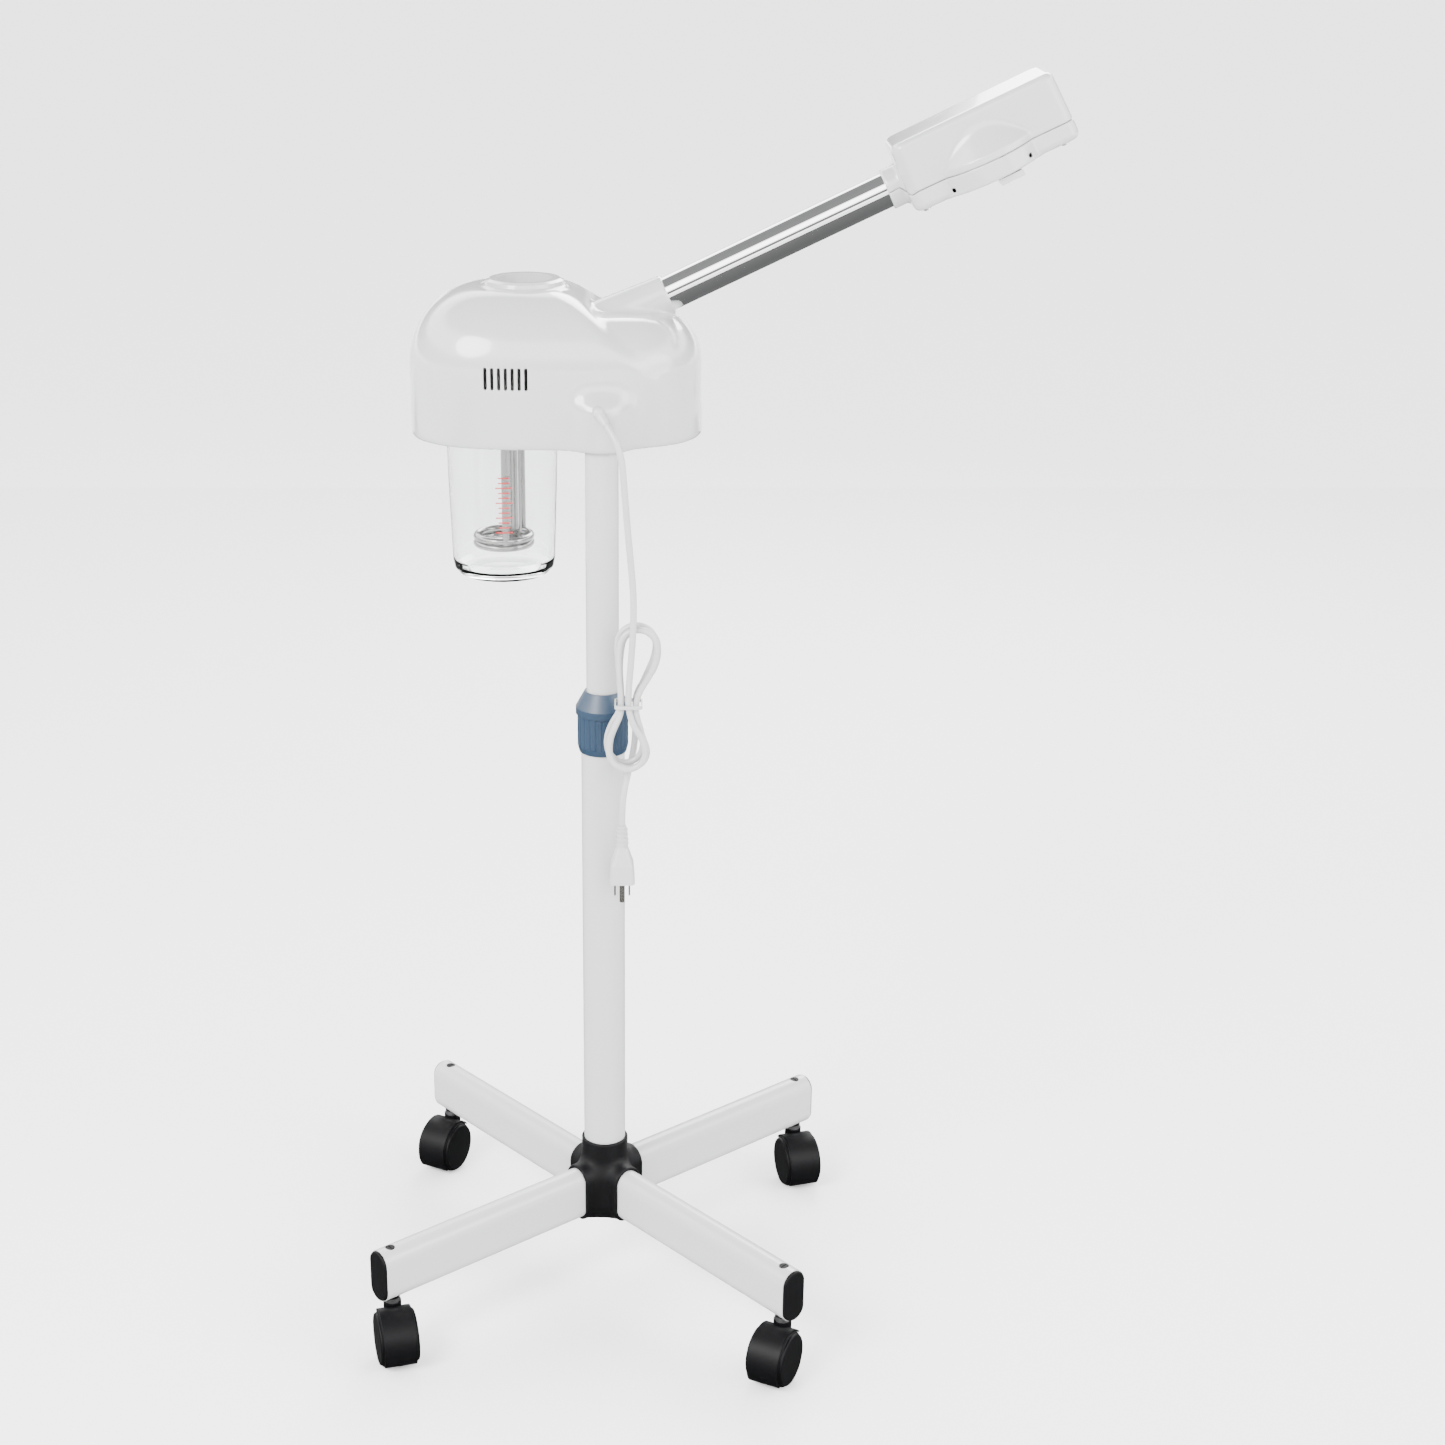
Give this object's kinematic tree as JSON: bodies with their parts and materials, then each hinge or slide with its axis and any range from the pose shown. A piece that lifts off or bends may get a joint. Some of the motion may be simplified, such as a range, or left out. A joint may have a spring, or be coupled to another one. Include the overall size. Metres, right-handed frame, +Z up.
{
  "type": "facial steamer",
  "caption": "Floor-standing facial steamer: domed head with glass water jar, chrome arm with turning nozzle, height-adjustable pole and four-leg base on twin-wheel casters.",
  "frame": {"origin": "on the pole's axis at floor level", "axes": "+Z up along the pole; +X the way the steam arm points; +Y the side with the switches, so the vents and the cord face -Y"},
  "size_m": [0.5987, 0.4397, 1.0833],
  "materials": {
    "white_plastic": "glossy moulded ABS",
    "white_paint": "gloss white powder coat",
    "black_plastic": "satin moulded plastic",
    "caster_plastic": "satin nylon",
    "blue_grey_plastic": "satin moulded plastic",
    "chrome": "polished chrome plate",
    "stainless": "drawn stainless tube",
    "zinc_steel": "bright zinc",
    "jar_glass": "clear heat-proof glass",
    "silicone": "translucent silicone",
    "heater_plastic": "heat-proof nylon",
    "lamp_glass": "quartz tube",
    "terminal_plastic": "natural nylon",
    "ballast_case": "grey lacquer",
    "panel_plastic": "satin pale grey",
    "rocker_plastic": "glossy black",
    "lamp_lens": "tinted lens",
    "cord_pvc": "smooth white PVC",
    "pin_brass": "nickel-plated brass"
  },
  "bodies": {
    "stand": {"base_hub": "black_plastic", "leg_1": "white_paint", "leg_2": "white_paint", "leg_3": "white_paint", "leg_4": "white_paint", "leg_end_plugs": "black_plastic", "leg_screws": "black_plastic", "lower_pole": "white_paint", "clamp_bush": "black_plastic"},
    "clamp_collar": {"clamp_collar": "blue_grey_plastic"},
    "mast": {"upper_pole": "white_paint", "pole_foot": "black_plastic"},
    "head": {"head_shell": "white_plastic", "bottom_plate": "white_plastic", "jar_ring": "white_plastic", "jar_seal": "silicone", "heater_lid": "heater_plastic", "heater_coil": "stainless", "water_sensors": "stainless", "ozone_lamp": "lamp_glass", "ozone_ballast": "ballast_case", "terminal_block": "terminal_plastic", "filler_funnel": "white_plastic", "head_screws": "zinc_steel", "cord_gland": "cord_pvc", "front_panel": "panel_plastic", "indicator_lamps": "lamp_lens", "arm_tube": "chrome", "steam_hose": "silicone", "cord_lead": "cord_pvc", "cord_hank": "cord_pvc", "hank_tie": "cord_pvc", "cord_tail": "cord_pvc", "plug_body": "cord_pvc", "plug_pins": "pin_brass"},
    "jar": {"jar": "jar_glass"},
    "filler_cap": {"filler_cap": "white_plastic"},
    "power_rocker": {"power_rocker": "rocker_plastic"},
    "ozone_rocker": {"ozone_rocker": "rocker_plastic"},
    "nozzle": {"nozzle_upper": "white_plastic", "nozzle_lower": "white_plastic", "nozzle_screws": "zinc_steel", "nozzle_chamber": "heater_plastic"},
    "outlet": {"outlet_turret": "white_plastic"},
    "caster_1": {"caster_1_hood": "caster_plastic", "caster_1_pins": "zinc_steel"},
    "caster_1_wheel_a": {"caster_1_wheel_a": "caster_plastic"},
    "caster_1_wheel_b": {"caster_1_wheel_b": "caster_plastic"},
    "caster_2": {"caster_2_hood": "caster_plastic", "caster_2_pins": "zinc_steel"},
    "caster_2_wheel_a": {"caster_2_wheel_a": "caster_plastic"},
    "caster_2_wheel_b": {"caster_2_wheel_b": "caster_plastic"},
    "caster_3": {"caster_3_hood": "caster_plastic", "caster_3_pins": "zinc_steel"},
    "caster_3_wheel_a": {"caster_3_wheel_a": "caster_plastic"},
    "caster_3_wheel_b": {"caster_3_wheel_b": "caster_plastic"},
    "caster_4": {"caster_4_hood": "caster_plastic", "caster_4_pins": "zinc_steel"},
    "caster_4_wheel_a": {"caster_4_wheel_a": "caster_plastic"},
    "caster_4_wheel_b": {"caster_4_wheel_b": "caster_plastic"}
  },
  "joints": [
    {"name": "collar_twist", "type": "hinge", "parent": "stand", "child": "clamp_collar", "pos_m": [0, 0, 0.545], "axis": [0, 0, 1], "range_deg": [0, 120]},
    {"name": "height_slide", "type": "slide", "parent": "stand", "child": "mast", "axis": [0, 0, 1], "range_m": [-0.19, 0.12]},
    {"name": "head_swivel", "type": "hinge", "parent": "mast", "child": "head", "pos_m": [0, 0, 0.8], "axis": [0, 0, 1], "range_deg": [-175, 175]},
    {"name": "jar_drop", "type": "slide", "parent": "head", "child": "jar", "axis": [0, 0, 1], "range_m": [-0.13, 0]},
    {"name": "filler_cap_lift", "type": "slide", "parent": "head", "child": "filler_cap", "axis": [0, 0, 1], "range_m": [0, 0.03]},
    {"name": "nozzle_swivel", "type": "hinge", "parent": "head", "child": "nozzle", "pos_m": [0.0566, 0.086, 0.9003], "axis": [0.9045, 0, 0.4266], "range_deg": [-90, 90]},
    {"name": "outlet_turn", "type": "hinge", "parent": "nozzle", "child": "outlet", "pos_m": [0.31573, 0.086, 1.02251], "axis": [-0.4266, 0, 0.9045], "range_deg": [-60, 90]},
    {"name": "power_rocker_tilt", "type": "hinge", "parent": "head", "child": "power_rocker", "pos_m": [-0.0663, 0.173, 0.832], "axis": [1, 0, 0], "range_deg": [-10, 0]},
    {"name": "ozone_rocker_tilt", "type": "hinge", "parent": "head", "child": "ozone_rocker", "pos_m": [-0.0143, 0.173, 0.832], "axis": [1, 0, 0], "range_deg": [-10, 0]},
    {"name": "caster_1_swivel", "type": "hinge", "parent": "stand", "child": "caster_1", "pos_m": [0.15813, -0.18845, 0.058], "axis": [0, 0, 1], "continuous": true},
    {"name": "caster_1_wheel_a_spin", "type": "hinge", "parent": "caster_1", "child": "caster_1_wheel_a", "pos_m": [0.15061, -0.20257, 0.025], "axis": [0.8829, -0.4695, 0], "continuous": true},
    {"name": "caster_1_wheel_b_spin", "type": "hinge", "parent": "caster_1", "child": "caster_1_wheel_b", "pos_m": [0.15061, -0.20257, 0.025], "axis": [0.8829, -0.4695, 0], "continuous": true},
    {"name": "caster_2_swivel", "type": "hinge", "parent": "stand", "child": "caster_2", "pos_m": [0.18845, 0.15813, 0.058], "axis": [0, 0, 1], "continuous": true},
    {"name": "caster_2_wheel_a_spin", "type": "hinge", "parent": "caster_2", "child": "caster_2_wheel_a", "pos_m": [0.19259, 0.14267, 0.025], "axis": [0.9659, 0.2588, 0], "continuous": true},
    {"name": "caster_2_wheel_b_spin", "type": "hinge", "parent": "caster_2", "child": "caster_2_wheel_b", "pos_m": [0.19259, 0.14267, 0.025], "axis": [0.9659, 0.2588, 0], "continuous": true},
    {"name": "caster_3_swivel", "type": "hinge", "parent": "stand", "child": "caster_3", "pos_m": [-0.15813, 0.18845, 0.058], "axis": [0, 0, 1], "continuous": true},
    {"name": "caster_3_wheel_a_spin", "type": "hinge", "parent": "caster_3", "child": "caster_3_wheel_a", "pos_m": [-0.16564, 0.17432, 0.025], "axis": [0.8829, -0.4695, 0], "continuous": true},
    {"name": "caster_3_wheel_b_spin", "type": "hinge", "parent": "caster_3", "child": "caster_3_wheel_b", "pos_m": [-0.16564, 0.17432, 0.025], "axis": [0.8829, -0.4695, 0], "continuous": true},
    {"name": "caster_4_swivel", "type": "hinge", "parent": "stand", "child": "caster_4", "pos_m": [-0.18845, -0.15813, 0.058], "axis": [0, 0, 1], "continuous": true},
    {"name": "caster_4_wheel_a_spin", "type": "hinge", "parent": "caster_4", "child": "caster_4_wheel_a", "pos_m": [-0.18431, -0.17358, 0.025], "axis": [0.9659, 0.2588, 0], "continuous": true},
    {"name": "caster_4_wheel_b_spin", "type": "hinge", "parent": "caster_4", "child": "caster_4_wheel_b", "pos_m": [-0.18431, -0.17358, 0.025], "axis": [0.9659, 0.2588, 0], "continuous": true}
  ]
}
